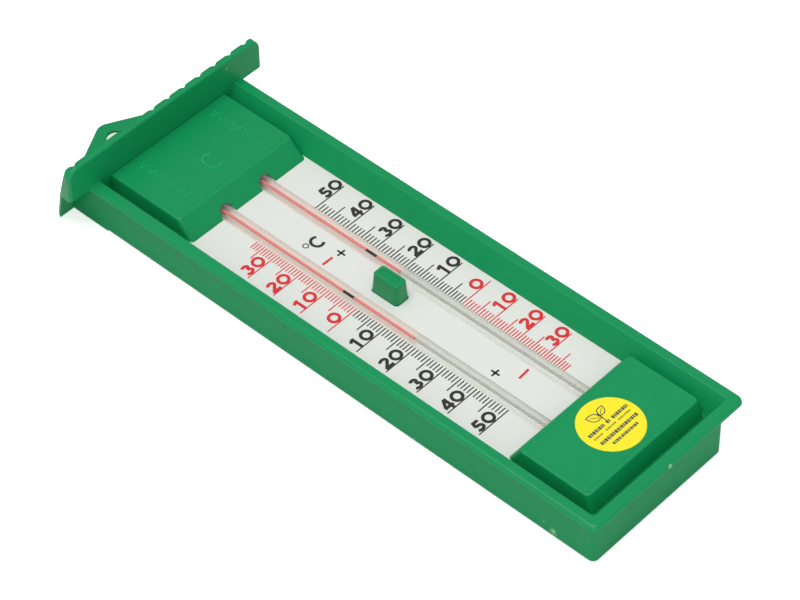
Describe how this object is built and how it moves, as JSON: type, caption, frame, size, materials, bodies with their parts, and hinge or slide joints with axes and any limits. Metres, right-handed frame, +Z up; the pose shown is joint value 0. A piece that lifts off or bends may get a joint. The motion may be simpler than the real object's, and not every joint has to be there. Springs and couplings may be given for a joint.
{
  "type": "maximum minimum thermometer",
  "caption": "Greenhouse wall thermometer: U-tube in a moulded green tray under a tiled roof, twin scales, two sliding markers and a push button that resets them.",
  "frame": {"origin": "centre of the hanging hole, on the back of the eye, 2.2 mm in front of the back plane that lies against the wall", "axes": "+Z up when hung, dial facing -Y, +X to the right of a person reading the dial"},
  "size_m": [0.08, 0.0322, 0.2273],
  "materials": {
    "green_plastic": "injection-moulded green, satin gloss",
    "opal_plastic": "opal white, smooth, with printed scale",
    "grey_plastic": "plain moulded grey",
    "clear_glass": "clear glass",
    "clear_liquid": "clear liquid",
    "red_spirit": "red tinted spirit",
    "black_marker": "black coated steel pin",
    "magnet_rubber": "dark magnetic rubber",
    "spring_steel": "bright spring wire",
    "zinc_steel": "zinc plated",
    "label_paper": "yellow printed sticker",
    "foam": "soft foam"
  },
  "bodies": {
    "case": {"case": "green_plastic", "scale_plate": "opal_plastic", "upper_cover": "green_plastic", "lower_cover": "green_plastic", "round_label": "label_paper", "glass_tube": "clear_glass", "clear_liquid": "clear_liquid", "max_bulb_spirit": "red_spirit", "min_bulb_spirit": "red_spirit", "upper_return_spring": "spring_steel", "lower_return_spring": "spring_steel", "upper_tube_clip": "grey_plastic", "lower_tube_clip": "grey_plastic", "bulb_pad": "foam", "bend_pad": "foam", "plate_screws": "zinc_steel", "clip_screws": "zinc_steel"},
    "button": {"reset_button": "green_plastic", "magnet_carrier": "grey_plastic", "max_magnet_strip": "magnet_rubber", "min_magnet_strip": "magnet_rubber"},
    "max_column": {"max_red_thread": "red_spirit"},
    "min_column": {"min_red_thread": "red_spirit"},
    "max_index": {"max_marker": "black_marker"},
    "min_index": {"min_marker": "black_marker"}
  },
  "joints": [
    {"name": "reset_push", "type": "slide", "parent": "case", "child": "button", "axis": [0, 1, 0], "range_m": [0, 0.003], "stiffness_N_per_m": 400, "springref_m": -0.002, "deforming": ["upper_return_spring", "lower_return_spring"]},
    {"name": "max_column_rise", "type": "slide", "parent": "case", "child": "max_column", "axis": [0, 0, 1], "range_m": [-0.0235, 0.0092], "deforming": ["max_red_thread", "clear_liquid", "max_bulb_spirit"]},
    {"name": "min_column_fall", "type": "slide", "parent": "case", "child": "min_column", "axis": [0, 0, -1], "range_m": [-0.0235, 0.0092], "deforming": ["min_red_thread", "min_bulb_spirit"]},
    {"name": "max_marker_slide", "type": "slide", "parent": "case", "child": "max_index", "axis": [0, 0, 1], "range_m": [-0.0092, 0.0274]},
    {"name": "min_marker_slide", "type": "slide", "parent": "case", "child": "min_index", "axis": [0, 0, -1], "range_m": [-0.037, 0.0235]}
  ],
  "couplings": [
    {"joint": "min_column_fall", "follows": "max_column_rise", "ratio": 1}
  ]
}
